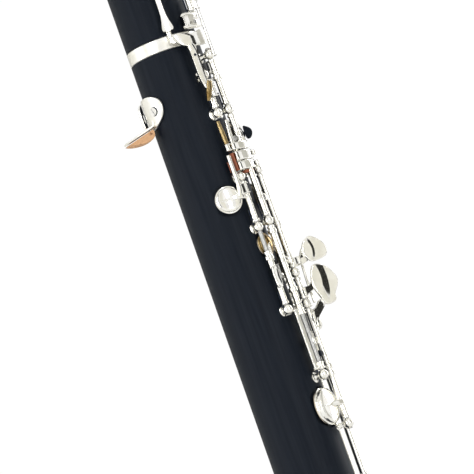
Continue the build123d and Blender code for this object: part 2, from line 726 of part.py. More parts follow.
def build_side_vent_key():
    side_key("side_vent_key", "inner_mid", SIDE_VENT_TOUCH, bars=[SIDE_VENT_TAIL])


def build_f_key():
    side_key("f_key", "inner_low", F_TOUCH, low_cup)


def build_g_sharp_key():
    side_key("g_sharp_key", "upper_left", G_SHARP_TOUCH)


def build_second_octave_key():
    side_key("second_octave_key", "side_back", SECOND_OCTAVE_TOUCH)


def build_first_octave_key():
    side_key("first_octave_key", "thumb", FIRST_OCTAVE_TOUCH)


def build_c_sharp_key():
    side_key("c_sharp_key", "sharp", C_SHARP_TOUCH)


def build_low_b_key():
    side_key("low_b_key", "left_b", LOW_B_TOUCH)


def build_low_b_flat_lever():
    """Left little-finger touch; its foot presses the bell key's tail."""
    line, z0, z1 = between("left_b_flat")
    with BuildPart() as key:
        tube(line, z0, z1)
        for bar in (B_FLAT_TOUCH, B_FLAT_FOOT_ROOT, B_FLAT_FOOT):
            sector(*bar)
        web(line, line.r, B_FLAT_TOUCH.r1, 4.5, B_FLAT_TOUCH.z0, B_FLAT_TOUCH.z1)
        web(line, line.r, B_FLAT_FOOT.r1, 4.5, B_FLAT_FOOT_ROOT.z0, B_FLAT_FOOT_ROOT.z1)
        hinge_bore(line, z0, z1)
    save(key, "low_b_flat_lever")


def build_low_b_flat_key():
    cup = CUPS["low_b_flat_key"]
    line, z0, z1 = between("bell")
    with BuildPart() as key:
        tube(line, z0, z1)
        cup_arm(cup, line)
        domed_cup(cup)
        clear_recess(cup)
        sector(*BELL_TAIL_ROOT)
        sector(*BELL_TAIL)
        hinge_bore(line, z0, z1)
    save(key, "low_b_flat_key")
    build_pad("low_b_flat_key", [cup])


def leaf_plane(z):
    centre = point(LEAF_THETA, LEAF_R, z)
    return Plane(centre, x_dir=direction(LEAF_NORMAL - 90), z_dir=direction(LEAF_NORMAL))


def leaf(plane, outline):
    with BuildSketch(plane) as face:
        with BuildLine():
            Spline(*outline, periodic=True)
        make_face()
    extrude(face.sketch, amount=LEAF_THICK / 2, both=True)


def stem(plane, outline):
    with BuildSketch(plane) as face:
        with BuildLine():
            Polyline(*outline, close=True)
        make_face()
    extrude(face.sketch, amount=LEAF_THICK / 2, both=True)


def build_e_flat_key():
    """The touch bridges the middle post with a stem on each side of it."""
    cup = CUPS["e_flat_key"]
    plane = leaf_plane(E_FLAT_LEAF_Z)
    line, base, low_top = between("outer_low")
    line, high_base, top = between("outer_mid")
    with BuildPart() as key:
        tube(line, base, low_top)
        tube(line, high_base, top)
        cup_arm(cup, line)
        domed_cup(cup)
        clear_recess(cup)
        leaf(plane, E_FLAT_LEAF)
        stem(plane, E_FLAT_LOW_STEM)
        stem(plane, E_FLAT_HIGH_STEM)
        hinge_bore(line, base, top)
    save(key, "e_flat_key")
    build_pad("e_flat_key", [cup])


def build_low_c_touch():
    """The upper little-finger touch; its foot presses the low C key's tab."""
    plane = leaf_plane(LOW_C_LEAF_Z)
    line, z0, z1 = between("outer_top")
    with BuildPart() as key:
        tube(line, z0, z1)
        leaf(plane, LOW_C_LEAF)
        stem(plane, LOW_C_STEM)
        sector(*LOW_C_FOOT_ROOT)
        sector(*LOW_C_FOOT)
        web(line, line.r, LOW_C_FOOT.r1, 3.5, LOW_C_FOOT_ROOT.z0, LOW_C_FOOT_ROOT.z1)
        hinge_bore(line, z0, z1)
    save(key, "low_c_touch")


def build_low_c_key():
    cup = CUPS["low_c_key"]
    line, z0, z1 = between("little")
    with BuildPart() as key:
        tube(line, z0, z1)
        cup_arm(cup, line)
        domed_cup(cup)
        clear_recess(cup)
        web(line, line.r, LOW_C_TAB.r1, 3, LOW_C_TAB.z0, z1)
        sector(*LOW_C_TAB)
        hinge_bore(line, z0, z1)
    save(key, "low_c_key")
    build_pad("low_c_key", [cup])


build_bell()
build_lower_joint()
build_upper_joint()
build_rings()
build_tenon_corks()
build_posts("bell_posts", BELL_RODS)
build_posts("lower_posts", LOWER_RODS)
build_posts("upper_posts", UPPER_RODS)
build_rods("bell_rod", BELL_RODS)
build_rods("lower_rods", LOWER_RODS)
build_rods("upper_rods", UPPER_RODS)
build_needle_springs()
build_thumb_rest()
build_thumb_rest_cork()
build_thumb_rest_screws()
build_half_hole_plate()
build_a_key()
build_g_key()
build_g_sharp_key()
build_trill_lever()
build_second_octave_key()
build_first_octave_key()
build_trill_touch()
build_bridge_lever()
build_f_sharp_plate()
build_e_plate()
build_d_plate()
build_side_vent_key()
build_f_key()
build_resonance_key()
build_e_flat_key()
build_low_c_touch()
build_low_c_key()
build_c_sharp_key()
build_low_b_key()
build_low_b_flat_lever()
build_low_b_flat_key()
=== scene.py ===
import json
import math

import bmesh
import bpy
from mathutils import Matrix, Vector


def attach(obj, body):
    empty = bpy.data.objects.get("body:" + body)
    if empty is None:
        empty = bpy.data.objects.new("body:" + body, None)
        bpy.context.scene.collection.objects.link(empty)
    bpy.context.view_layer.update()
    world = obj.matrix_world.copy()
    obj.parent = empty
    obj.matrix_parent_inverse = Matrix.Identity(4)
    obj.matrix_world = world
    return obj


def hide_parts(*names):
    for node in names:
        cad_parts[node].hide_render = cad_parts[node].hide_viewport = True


# Places on the instrument are given in millimetres as (theta, r, z): theta in degrees round
# the bore from the front towards the player's right, r from the bore's axis, z up the bore.
MM = 0.001

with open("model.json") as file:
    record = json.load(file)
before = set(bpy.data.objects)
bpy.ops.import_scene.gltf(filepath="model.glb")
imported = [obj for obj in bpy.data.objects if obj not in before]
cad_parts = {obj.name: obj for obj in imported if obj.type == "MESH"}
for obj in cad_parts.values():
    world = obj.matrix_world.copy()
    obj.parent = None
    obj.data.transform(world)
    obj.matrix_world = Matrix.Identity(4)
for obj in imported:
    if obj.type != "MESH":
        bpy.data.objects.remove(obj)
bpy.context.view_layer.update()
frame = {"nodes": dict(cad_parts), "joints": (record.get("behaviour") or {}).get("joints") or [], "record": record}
nodes = frame["nodes"]
hinges = {j["child"]: j for j in frame["joints"]}


# --- places ------------------------------------------------------------------------------

def direction(theta):
    t = math.radians(theta)
    return Vector((-math.sin(t), -math.cos(t), 0))


def spot(theta, r, z):
    return (direction(theta) * r + Vector((0, 0, z))) * MM


def line_of(body):
    """(theta, r) of a key's hinge line, from the record, in degrees and millimetres."""
    x, y, _ = hinges[body]["pos_m"]
    return math.degrees(math.atan2(-x, -y)), math.hypot(x, y) / MM


# --- materials ---------------------------------------------------------------------------

def new_material(name):
    mat = bpy.data.materials.new(name)
    mat.use_nodes = True
    tree = mat.node_tree
    shader = tree.nodes["Principled BSDF"]
    return mat, tree, shader


def noise(tree, scale, detail=4.0, stretch=(1, 1, 1)):
    coords = tree.nodes.new("ShaderNodeTexCoord")
    mapping = tree.nodes.new("ShaderNodeMapping")
    mapping.inputs["Scale"].default_value = stretch
    tree.links.new(coords.outputs["Object"], mapping.inputs["Vector"])
    tex = tree.nodes.new("ShaderNodeTexNoise")
    tex.inputs["Scale"].default_value = scale
    tex.inputs["Detail"].default_value = detail
    tree.links.new(mapping.outputs["Vector"], tex.inputs["Vector"])
    return tex


def ramp(tree, source, stops):
    node = tree.nodes.new("ShaderNodeValToRGB")
    while len(node.color_ramp.elements) < len(stops):
        node.color_ramp.elements.new(0.5)
    for element, (place, colour) in zip(node.color_ramp.elements, stops):
        element.position = place
        element.color = (*colour, 1)
    tree.links.new(source, node.inputs["Fac"])
    return node


def bump(tree, shader, source, strength, distance):
    node = tree.nodes.new("ShaderNodeBump")
    node.inputs["Strength"].default_value = strength
    node.inputs["Distance"].default_value = distance
    tree.links.new(source, node.inputs["Height"])
    tree.links.new(node.outputs["Normal"], shader.inputs["Normal"])


def map_range(tree, source, low, high):
    node = tree.nodes.new("ShaderNodeMapRange")
    node.inputs["To Min"].default_value = low
    node.inputs["To Max"].default_value = high
    tree.links.new(source, node.inputs["Value"])
    return node


def wood_material():
    """Oiled grenadilla: nearly black, with fine pores drawn out along the bore."""
    mat, tree, shader = new_material("grenadilla")
    grain = noise(tree, 900, 6, (1, 1, 0.04))
    stops = [(0.3, (0.0044, 0.0070, 0.0122)), (0.7, (0.0088, 0.0120, 0.0182))]
    colour = ramp(tree, grain.outputs["Fac"], stops)
    tree.links.new(colour.outputs["Color"], shader.inputs["Base Color"])
    rough = map_range(tree, grain.outputs["Fac"], 0.40, 0.54)
    tree.links.new(rough.outputs["Result"], shader.inputs["Roughness"])
    shader.inputs["Specular IOR Level"].default_value = 0.09
    bump(tree, shader, grain.outputs["Fac"], 0.12, 0.0001)
    return mat


def metal_material(name, low, high, rough_low, rough_high, scale):
    mat, tree, shader = new_material(name)
    cloud = noise(tree, scale, 3)
    colour = ramp(tree, cloud.outputs["Fac"], [(0.35, low), (0.65, high)])
    tree.links.new(colour.outputs["Color"], shader.inputs["Base Color"])
    shader.inputs["Metallic"].default_value = 1.0
    fine = noise(tree, scale * 12, 5)
    rough = map_range(tree, fine.outputs["Fac"], rough_low, rough_high)
    tree.links.new(rough.outputs["Result"], shader.inputs["Roughness"])
    bump(tree, shader, fine.outputs["Fac"], 0.03, 0.00005)
    return mat


def cork_material(name, light, dark):
    """Pale cork with darker cells and a few deep pores."""
    mat, tree, shader = new_material(name)
    cells = noise(tree, 420, 5)
    colour = ramp(tree, cells.outputs["Fac"], [(0.3, dark), (0.44, light), (0.7, light)])
    tree.links.new(colour.outputs["Color"], shader.inputs["Base Color"])
    shader.inputs["Roughness"].default_value = 0.85
    bump(tree, shader, cells.outputs["Fac"], 0.5, 0.0004)
    return mat


def pad_material():
    mat, tree, shader = new_material("pad_skin")
    skin = noise(tree, 700, 4)
    colour = ramp(tree, skin.outputs["Fac"], [(0.3, (0.62, 0.52, 0.38)), (0.7, (0.78, 0.70, 0.56))])
    tree.links.new(colour.outputs["Color"], shader.inputs["Base Color"])
    shader.inputs["Roughness"].default_value = 0.55
    bump(tree, shader, skin.outputs["Fac"], 0.15, 0.0001)
    return mat


WOOD = wood_material()
SILVER = metal_material("silver_plate", (0.84, 0.825, 0.76), (0.92, 0.91, 0.87), 0.05, 0.10, 260)
SATIN = metal_material("satin_silver", (0.84, 0.825, 0.76), (0.92, 0.91, 0.87), 0.30, 0.38, 260)
STEEL = metal_material("steel", (0.36, 0.36, 0.35), (0.48, 0.48, 0.47), 0.22, 0.34, 500)
# Gold-toned metal laid on silver parts: a painted warm reflection in the base colour.
GOLD_REFLECTION = metal_material("painted_gold_reflection", (0.20, 0.13, 0.045), (0.48, 0.37, 0.19), 0.12, 0.22, 300)
BLUED = metal_material("blued_steel", (0.02, 0.025, 0.04), (0.05, 0.06, 0.085), 0.25, 0.35, 700)
CORK = cork_material("cork", (0.62, 0.36, 0.19), (0.12, 0.045, 0.02))
BUMPER = cork_material("bumper_cork", (0.32, 0.10, 0.05), (0.12, 0.03, 0.015))
PAD = pad_material()
BY_SLOT = {"grenadilla": WOOD, "silver_plate": SILVER, "steel": STEEL, "blued_steel": BLUED,
           "cork": CORK, "pad_skin": PAD}


def dress_cad_nodes():
    slots = {s["node"]: s["material_slot"] for s in frame["record"]["subparts"]}
    for name, obj in nodes.items():
        obj.data.materials.clear()
        obj.data.materials.append(SATIN if name.endswith("_ring") else BY_SLOT[slots[name]])
        obj.data.shade_smooth()
        obj.data.set_sharp_from_angle(angle=math.radians(30))


# --- mesh shells -------------------------------------------------------------------------
# A shell is (vertices, faces). piece() joins nested lists of shells into one object.

SECTION = 20


def ring_grid(rings, close_start=True, close_end=True):
    """Skins a list of rings of equal length, with flat or domed ends closed by a fan."""
    count = len(rings[0])
    verts = [v for ring in rings for v in ring]
    faces = []
    for k in range(len(rings) - 1):
        for i in range(count):
            j = (i + 1) % count
            faces.append((k * count + i, k * count + j, (k + 1) * count + j, (k + 1) * count + i))
    for wanted, base, flip in ((close_start, 0, True), (close_end, (len(rings) - 1) * count, False)):
        if wanted:
            centre = sum((verts[base + i] for i in range(count)), Vector()) / count
            verts.append(centre)
            top = len(verts) - 1
            for i in range(count):
                j = (i + 1) % count
                faces.append((base + j, base + i, top) if flip else (base + i, base + j, top))
    return verts, faces


def soften(points, radius, steps=3):
    """Rounds the corners of an open outline of (x, y) pairs."""
    out = [points[0]]
    for before, here, after in zip(points, points[1:], points[2:]):
        p, a, b = (Vector(q) for q in (here, before, after))
        cut = min(radius, (a - p).length * 0.45, (b - p).length * 0.45)
        start = p + (a - p).normalized() * cut
        end = p + (b - p).normalized() * cut
        for k in range(steps + 1):
            t = k / steps
            out.append(tuple(start * (1 - t) ** 2 + p * 2 * t * (1 - t) + end * t ** 2))
    out.append(points[-1])
    return out


def lathe(base, axis, profile, count=48):
    """Spins (radius, height) pairs in mm round an axis that starts at base (metres)."""
    axis = Vector(axis).normalized()
    side = axis.orthogonal().normalized()
    other = axis.cross(side)
    rings = []
    for radius, height in profile:
        ring = []
        for i in range(count):
            angle = 2 * math.pi * i / count
            offset = (side * math.cos(angle) + other * math.sin(angle)) * max(radius, 0.001)
            ring.append(base + (offset + axis * height) * MM)
        rings.append(ring)
    return ring_grid(rings)


def tube(line, z0, z1, radius=1.35, edge=0.18):
    theta, r = line
    profile = [(radius - edge, 0), (radius, edge), (radius, z1 - z0 - edge), (radius - edge, z1 - z0)]
    return lathe(spot(theta, r, z0), (0, 0, 1), profile, 32)


def collar(line, z, height, radius=1.75):
    theta, r = line
    profile = soften([(1.2, 0), (radius, 0.1), (radius, height - 0.1), (1.2, height)], 0.3)
    return lathe(spot(theta, r, z - height / 2), (0, 0, 1), profile, 32)


def section_ring(centre, across, up, width, thick, power=3.2):
    """A rounded rectangle of this width and thickness, in mm."""
    ring = []
    for i in range(SECTION):
        angle = 2 * math.pi * i / SECTION
        c, s = math.cos(angle), math.sin(angle)
        x = math.copysign(abs(c) ** (2 / power), c) * width / 2
        y = math.copysign(abs(s) ** (2 / power), s) * thick / 2
        ring.append(centre + (across * x + up * y) * MM)
    return ring


def on_curve(p0, p1, p2, p3, t):
    """The place at share t from p1 to p2 on the Catmull-Rom curve through four tuples."""
    return tuple(0.5 * (2 * b + (c - a) * t + (2 * a - 5 * b + 4 * c - d) * t * t
                        + (3 * b - a - 3 * c + d) * t ** 3)
                 for a, b, c, d in zip(p0, p1, p2, p3))


def smooth_path(stations, per_span=6):
    """Catmull-Rom through stations of equal-length tuples."""
    out = []
    last = len(stations) - 1
    for k in range(last):
        near = [stations[max(0, min(last, k + d))] for d in (-1, 0, 1, 2)]
        out += [on_curve(*near, step / per_span) for step in range(per_span)]
    out.append(tuple(stations[-1]))
    return out


def bar(stations, power=3.2, per_span=6):
    """A bar through stations of (theta, r, z, width, thick). Its width lies along the body's
    surface and its thickness points away from the bore."""
    path = smooth_path(stations, per_span)
    centres = [spot(*p[:3]) for p in path]
    rings = []
    for k, p in enumerate(path):
        before, after = centres[max(k - 1, 0)], centres[min(k + 1, len(path) - 1)]
        along = (after - before).normalized()
        up = direction(p[0])
        up = (up - along * up.dot(along)).normalized()
        across = along.cross(up).normalized()
        rings.append(section_ring(centres[k], across, up, p[3], p[4], power))
        if k in (0, len(path) - 1):
            sign = -1 if k == 0 else 1
            tip = centres[k] + along * sign * 0.18 * MM
            cap = section_ring(tip, across, up, p[3] * 0.86, p[4] * 0.7, power)
            rings.insert(0, cap) if k == 0 else rings.append(cap)
    return ring_grid(rings)


def outline_circle(count=56, power=2.0, size=(1, 1)):
    """A superellipse outline; power 2 is an ellipse and 4 nearly a rectangle."""
    points = []
    for i in range(count):
        angle = 2 * math.pi * i / count
        c, s = math.cos(angle), math.sin(angle)
        points.append((math.copysign(abs(c) ** (2 / power), c) * size[0],
                       math.copysign(abs(s) ** (2 / power), s) * size[1]))
    return points


def outline_through(points, per_span=6):
    """A closed smooth outline through a few (x, y) points."""
    count = len(points)
    out = []
    for k in range(count):
        near = [points[(k + d) % count] for d in (-1, 0, 1, 2)]
        out += [on_curve(*near, step / per_span) for step in range(per_span)]
    return out


def pillow(outline, place, thick, relief=lambda s: 0.0, steps=8, edge=0.35):
    """A plate with rounded edges. place(x, y, h) gives the point h mm above the plate's middle
    surface; relief(s) adds height at share s of the way from the centre to the edge."""
    cx = sum(p[0] for p in outline) / len(outline)
    cy = sum(p[1] for p in outline) / len(outline)
    size = max(math.hypot(x - cx, y - cy) for x, y in outline)
    inset = min(edge / size, 0.3)
    layers = [(k / steps * (1 - inset), thick / 2) for k in range(1, steps + 1)]
    for k in range(1, 4):
        angle = math.pi / 2 * k / 4
        layers.append((1 - inset + inset * math.sin(angle), thick / 2 * math.cos(angle)))
    layers.append((1.0, 0.0))
    layers += [(share, -height) for share, height in reversed(layers[:-1])]
    rings = []
    for share, height in layers:
        rings.append([place(cx + (x - cx) * share, cy + (y - cy) * share, height + relief(share))
                      for x, y in outline])
    return ring_grid(rings)


def wrapped(theta, r, z):
    """Places a plate's x round the body (towards the player's left) and its y up the bore."""
    def place(x, y, h):
        return spot(theta - math.degrees(x / r), r + h, z + y)
    return place


def flat_on(centre, normal, x_axis):
    normal = Vector(normal).normalized()
    x_axis = Vector(x_axis).normalized()
    y_axis = normal.cross(x_axis)
    def place(x, y, h):
        return centre + (x_axis * x + y_axis * y + normal * h) * MM
    return place


def slotted_head(centre, axis, radius, height, slot_angle=20, slot=0.32):
    """A screw head: a disc with two raised halves that leave a slot between them."""
    axis = Vector(axis).normalized()
    up = Vector((0, 0, 1)) if abs(axis.z) < 0.9 else Vector((0, 1, 0))
    side = axis.cross(up).normalized()
    turn = Matrix.Rotation(math.radians(slot_angle), 3, axis)
    side = turn @ side
    shells = [lathe(centre, axis, [(radius, 0), (radius, height * 0.45), (radius - 0.05, height * 0.5)], 32)]
    place = flat_on(centre + axis * height * 0.7 * MM, axis, side)
    for sign in (1, -1):
        half = []
        reach = math.asin(slot / 2 / radius)
        for k in range(17):
            angle = reach + (math.pi - 2 * reach) * k / 16
            half.append((radius * math.cos(angle), sign * radius * math.sin(angle)))
        if sign < 0:
            half.reverse()
        shells.append(pillow(half, place, height * 0.6, steps=2, edge=0.12))
    return shells


def flat_list(shells):
    out = []
    for item in shells:
        if isinstance(item, list):
            out += flat_list(item)
        else:
            out.append(item)
    return out


def piece(name, body, shells, material=SILVER, replaces=(), sharp=40):
    """Joins shells into one object that rides with a body."""
    verts = []
    faces = []
    for shell_verts, shell_faces in flat_list(shells):
        base = len(verts)
        verts += shell_verts
        faces += [tuple(base + i for i in face) for face in shell_faces]
    mesh = bpy.data.meshes.new(name)
    mesh.from_pydata(verts, [], faces)
    mesh.validate()
    work = bmesh.new()
    work.from_mesh(mesh)
    bmesh.ops.recalc_face_normals(work, faces=work.faces)
    work.to_mesh(mesh)
    work.free()
    mesh.shade_smooth()
    mesh.set_sharp_from_angle(angle=math.radians(sharp))
    obj = bpy.data.objects.new(name, mesh)
    bpy.context.scene.collection.objects.link(obj)
    mesh.materials.append(material)
    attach(obj, body)
    if replaces:
        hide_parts(*replaces)
    return obj


# --- the instrument's layout, in the same numbers as the CAD -------------------------------

OUTER = line_of("e_flat_key")
MAIN = line_of("e_plate")
INNER = line_of("f_key")
LITTLE = line_of("low_c_key")
SHARP = line_of("c_sharp_key")
LEFT_B = line_of("low_b_key")
LEFT_B_FLAT = line_of("low_b_flat_lever")
UPPER_MAIN = line_of("a_key")
UPPER_RIGHT = line_of("trill_lever")
UPPER_LEFT = line_of("g_sharp_key")
SIDE_BACK = line_of("second_octave_key")
THUMB = line_of("first_octave_key")

# Each rod is (line, z of its lower post, z of its upper post)
LOWER_RODS = {
    "main_crown": (MAIN, 332, 352),
    "main_top": (MAIN, 291.5, 332),
    "main_low": (MAIN, 236, 291.5),
    "outer_top": (OUTER, 272.3, 310),
    "outer_mid": (OUTER, 261, 272.3),
    "outer_low": (OUTER, 218, 261),
    "inner_top": (INNER, 331.6, 345.5),
    "inner_mid": (INNER, 290.3, 308.5),
    "inner_low": (INNER, 260.5, 290.3),
    "little": (LITTLE, 170, 266.3),
    "sharp": (SHARP, 195, 264),
    "left_b": (LEFT_B, 134, 352),
    "left_b_flat": (LEFT_B_FLAT, 123.5, 350),
}
UPPER_RODS = {
    "upper_low": (UPPER_MAIN, 366.5, 397),
    "upper_mid": (UPPER_MAIN, 397, 423),
    "upper_top": (UPPER_MAIN, 423, 449),
    "upper_right": (UPPER_RIGHT, 380, 452),
    "upper_left": (UPPER_LEFT, 370, 400),
    "side_back": (SIDE_BACK, 452, 490),
    "thumb": (THUMB, 428, 506),
}
BELL_RODS = {"bell": (LEFT_B_FLAT, 72, 104.5)}
RODS = {**LOWER_RODS, **UPPER_RODS, **BELL_RODS}

POST_GAP = 1.95
BALL_R = 1.75
BALL_FLAT = 1.62
TUBE_R = 1.06
BAND_R = 1.3
BAND = 0.9

# Outside of the wood: radii at the heights where its taper changes
BELL_TOP = 118
MIDDLE = 362.5
STRAIGHT_TOP = 388
NECK_Z = 560
BELL_NECK_R = 13.4
LOWER_BASE_R = 13.2
BARREL_R = 12.45
NECK_R = 9.4

# How far each key that rests open stands from shut, in degrees about +Z
OPENED = {"half_hole_plate": -4, "a_key": -4, "g_key": -4, "bridge_lever": -4, "f_sharp_plate": -4,
          "e_plate": -4, "d_plate": -4, "resonance_key": -4, "low_c_key": 7, "low_b_key": 6.5,
          "low_b_flat_lever": -7, "low_b_flat_key": -7}


def wood_radius(z):
    if z < BELL_TOP:
        return BELL_NECK_R
    if z < MIDDLE:
        return LOWER_BASE_R + (BARREL_R - LOWER_BASE_R) * (z - BELL_TOP) / (MIDDLE - BELL_TOP)
    if z < STRAIGHT_TOP:
        return BARREL_R
    return BARREL_R + (NECK_R - BARREL_R) * (z - STRAIGHT_TOP) / (NECK_Z - STRAIGHT_TOP)


class Cup:
    """A padded cup; base is how far its lower edge stands from the bore's axis when shut."""
    def __init__(self, theta, z, radius, skirt=1.7, bead=0.8):
        self.theta, self.z, self.radius, self.skirt = theta, z, radius, skirt
        flat = math.sqrt(wood_radius(z) ** 2 - (radius - 0.4) ** 2)
        self.base = flat + bead + 0.58
        self.recess = 1.1 if skirt > 1.3 else skirt - 0.5

    def over(self, t, h):
        """(theta, r) of the place t mm round from the cup's axis and h mm above its edge."""
        height = self.base + h
        return self.theta + math.degrees(math.atan2(t, height)), math.hypot(t, height)


CUPS = {
    "half_hole_plate": Cup(-4, 436, 6.2),
    "a_key": Cup(-4, 410, 6.2),
    "a_vent": Cup(-4, 423, 3.6),
    "g_key": Cup(-4, 383, 6.2),
    "g_vent": Cup(-4, 396.5, 3.6),
    "g_sharp_key": Cup(-90, 393, 4.6),
    "trill_lever": Cup(106, 443, 3.9),
    "second_octave_key": Cup(136, 483, 3.2),
    "first_octave_key": Cup(134, 500, 3.2),
    "f_sharp_plate": Cup(-4, 323, 7.2),
    "e_plate": Cup(-4, 300, 7.2),
    "d_plate": Cup(-4, 277, 7.2),
    "side_vent_key": Cup(96, 302, 4.8),
    "f_key": Cup(57, 284.2, 4.1, 1.1, 0.0),
    "resonance_key": Cup(12, 248, 4.8, 1.0, 0.0),
    "e_flat_key": Cup(50, 225.6, 6.65, 2.0),
    "low_c_key": Cup(32, 180, 7.2),
    "c_sharp_key": Cup(-48, 205, 5.8),
    "low_b_key": Cup(-48, 144, 7.6),
    "low_b_flat_key": Cup(-128, 88, 7.6),
}


def block(theta0, theta1, r0, r1, z0, z1, edge=0.28):
    """A block that follows the body round, with rounded edges."""
    rings = []
    levels = []
    for k in range(4):
        a = math.pi / 2 * k / 3
        levels.append((z0 + edge * (1 - math.sin(a)), edge * (1 - math.cos(a))))
    levels += [(z0 + z1 - z, inset) for z, inset in reversed(levels)]
    mid = (r0 + r1) / 2
    spin = math.degrees(1 / mid)
    count = max(2, int(abs(theta1 - theta0) / 3))
    for z, inset in levels:
        ring = []
        a0, a1, b0, b1 = theta0 + inset * spin, theta1 - inset * spin, r0 + inset, r1 - inset
        c = min(edge, (b1 - b0) / 2.1, (a1 - a0) / spin / 2.1)
        corners = [(a1, b0, -1, 1), (a1, b1, -1, -1), (a0, b1, 1, -1), (a0, b0, 1, 1)]
        for n, (a, b, da, db) in enumerate(corners):
            for k in range(4):
                t = math.pi / 2 * k / 3
                if n in (0, 2):
                    ta, tb = 1 - math.sin(t), 1 - math.cos(t)
                else:
                    ta, tb = 1 - math.cos(t), 1 - math.sin(t)
                ring.append((a + da * c * spin * ta, b + db * c * tb))
            if n in (1, 3):
                start = ring[-1]
                end = a0 + c * spin if n == 1 else a1 - c * spin
                for k in range(1, count):
                    ring.append((start[0] + (end - start[0]) * k / count, start[1]))
        rings.append([spot(a, b, z) for a, b in ring])
    return ring_grid(rings)


def strip(points, across, widths, thicks, power=3.2, per_span=6):
    """A bar through (x, y, z) points in mm whose width lies along one fixed direction."""
    path = smooth_path([(*p, w, t) for p, w, t in zip(points, widths, thicks)], per_span)
    centres = [Vector(p[:3]) * MM for p in path]
    across = Vector(across).normalized()
    rings = []
    for k, p in enumerate(path):
        along = (centres[min(k + 1, len(path) - 1)] - centres[max(k - 1, 0)]).normalized()
        side = (across - along * across.dot(along)).normalized()
        rings.append(section_ring(centres[k], side, side.cross(along), p[3], p[4], power))
    return ring_grid(rings)


def key_tube(line, z0, z1, bands=()):
    """A hinge tube with a narrow band turned at each end."""
    shells = [tube(line, z0, z1, TUBE_R)]
    for low in (z0, z1 - BAND):
        shells.append(tube(line, low, low + BAND, BAND_R, 0.12))
    for z in bands:
        shells.append(collar(line, z, 1.6, 1.6))
    return shells


def rod_tube(rod, bands=()):
    """The tube that fills the room between a rod's two posts."""
    line, low, high = RODS[rod]
    return key_tube(line, low + POST_GAP, high - POST_GAP, bands)


def cup_shell(cup, plate=False, dome=0.6, flange=0.55):
    radius, skirt = cup.radius, cup.skirt
    inner = radius - 0.5
    top = skirt + dome
    profile = [(0, cup.recess), (inner - 0.3, cup.recess), (inner, cup.recess - 0.05), (inner, 0.06),
               (inner + 0.06, 0), (radius - 0.12, 0), (radius, 0.1)]
    if plate:
        profile += [(radius, top - 0.5), (radius - 0.1, top - 0.18), (radius - 0.35, top - 0.02),
                    (radius - 0.6, top), (radius - 0.95, top - 0.08), (radius - 1.4, top - 0.3),
                    (radius * 0.55, top - 0.46), (radius * 0.25, top - 0.5), (0, top - 0.5)]
    else:
        step = skirt * flange
        profile += [(radius, step - 0.2), (radius - 0.06, step - 0.06), (radius - 0.2, step),
                    (radius - 0.42, step), (radius - 0.5, step + 0.06), (radius - 0.52, step + 0.16),
                    (radius - 0.52, skirt - 0.3), (radius - 0.6, skirt - 0.08), (radius - 0.8, skirt + 0.1),
                    (radius * 0.7, skirt + dome * 0.45), (radius * 0.45, skirt + dome * 0.78),
                    (radius * 0.2, top - 0.04), (0, top)]
    return lathe(spot(cup.theta, cup.base, cup.z), direction(cup.theta), profile, 72)


def cup_arm(cup, line, z_tube=None, width=3.0, short=False):
    """A ridged arm that tapers to a point across the cup."""
    z_tube = cup.z if z_tube is None else z_tube
    side = 1 if line[0] > cup.theta else -1
    top = cup.skirt + 0.3
    reach = cup.radius
    stations = []
    if not short:
        tip = cup.over(-side * reach * 0.62, top - 0.05)
        stations.append((*tip, cup.z, 0.3, 0.5))
        stations.append((*cup.over(0, top + 0.12), cup.z, width * 0.5, 1.0))
    else:
        stations.append((*cup.over(side * (reach - 1.6), top - 0.2), cup.z, width * 0.8, 0.9))
    edge = cup.over(side * reach * 0.93, top - 0.1)
    limit = line[0] - side * 5
    if (limit - edge[0]) * side > 0:
        share = 0.3 if short else 0.35
        stations.append((*edge, cup.z + (z_tube - cup.z) * share, width * 0.78, 1.15))
    stations.append((line[0] - side * 3.2, line[1] + 0.1, z_tube, width * 0.95, 1.5))
    stations.append((line[0], line[1] + 0.35, z_tube, width, 2.0))
    return bar(stations, 2.6)


def touch(theta0, theta1, radius, z0, z1, thick=1.15, power=3.2, dish=0.18):
    """A rounded touch that follows the body round, slightly hollowed for a finger."""
    middle = (theta0 + theta1) / 2
    size = (math.radians(abs(theta1 - theta0)) / 2 * radius, (z1 - z0) / 2)
    place = wrapped(middle, radius, (z0 + z1) / 2)
    return pillow(outline_circle(64, power, size), place, thick, lambda s: -dish * (1 - s * s), edge=0.5)


def turned(shells, line, angle):
    if not angle:
        return shells
    centre = spot(*line, 0)
    spin = Matrix.Rotation(math.radians(angle), 3, "Z")
    out = []
    for verts, faces in flat_list(shells):
        out.append(([centre + spin @ (v - centre) for v in verts], faces))
    return out


def key(name, line, shells, corks=()):
    """Builds a key's metal, and any cork strips on it, at the place where it rests."""
    angle = OPENED.get(name, 0)
    piece(name + "_metal", name, turned(shells, line, angle), replaces=(name,))
    if corks:
        piece(name + "_cork", name, turned(list(corks), line, angle), BUMPER)


# --- posts and screws --------------------------------------------------------------------

def post(line, z):
    """A ball post turned with a foot and a waist, and flats where the tubes bear."""
    theta, r = line
    foot = wood_radius(z)
    base = spot(theta, foot - 0.25, z)
    reach = r - foot + 0.25
    neck = reach - 1.5
    profile = [(1.85, 0), (1.85, 0.45), (1.6, 0.62), (1.1, 0.8), (0.92, (0.8 + neck) / 2),
               (0.95, neck - 0.25), (1.25, neck - 0.12), (1.25, neck + 0.05), (0.95, neck + 0.12)]
    stem = lathe(base, direction(theta), profile, 32)
    rings = []
    for k in range(1, 16):
        a = math.pi * k / 16
        height = max(-BALL_FLAT, min(BALL_FLAT, -BALL_R * math.cos(a)))
        rings.append((math.sqrt(BALL_R ** 2 - (BALL_R * math.cos(a)) ** 2), height))
    rings = [(0.9, -BALL_FLAT)] + rings[1:-1] + [(0.9, BALL_FLAT)]
    return [stem, lathe(spot(theta, r, z), (0, 0, 1), rings, 40)]


